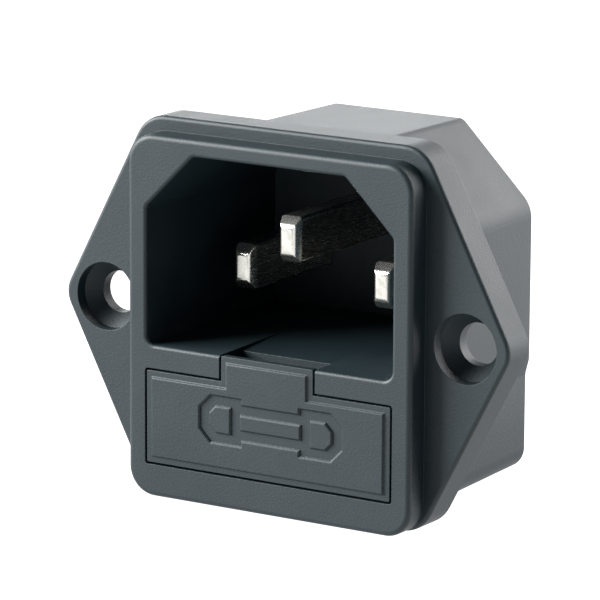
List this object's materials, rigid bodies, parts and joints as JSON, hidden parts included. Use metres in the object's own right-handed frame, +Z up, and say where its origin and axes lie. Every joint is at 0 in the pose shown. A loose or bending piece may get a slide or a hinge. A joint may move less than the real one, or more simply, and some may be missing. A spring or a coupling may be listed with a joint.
{
  "type": "fused mains panel inlet",
  "caption": "Screw-flange mains inlet with a chamfered connector recess, flat pins and a pull-out drawer below them that carries a cartridge fuse.",
  "frame": {"origin": "middle of the flange's rear face, which seats on the panel, midway between the screw holes", "axes": "+X to the right seen from the front, +Y from the front to the back, +Z up towards the earth pin"},
  "size_m": [0.0442, 0.0289, 0.033],
  "materials": {
    "housing_plastic": "fine moulded texture",
    "drawer_plastic": "fine moulded texture",
    "pin_metal": "bright nickel plating",
    "spring_metal": "tinned strip",
    "fuse_glass": "clear",
    "fuse_cap_metal": "nickel plating",
    "fuse_wire_metal": "tinned wire"
  },
  "bodies": {
    "inlet": {"housing": "housing_plastic", "earth_pin": "pin_metal", "neutral_pin": "pin_metal", "line_pin": "pin_metal", "line_link": "spring_metal", "load_contact": "spring_metal"},
    "drawer": {"fuse_drawer": "drawer_plastic", "fuse_tube": "fuse_glass", "fuse_cap_left": "fuse_cap_metal", "fuse_cap_right": "fuse_cap_metal", "fuse_wire": "fuse_wire_metal"}
  },
  "joints": [
    {"name": "drawer_slide", "type": "slide", "parent": "inlet", "child": "drawer", "axis": [0, -1, 0], "range_m": [0, 0.013]}
  ]
}
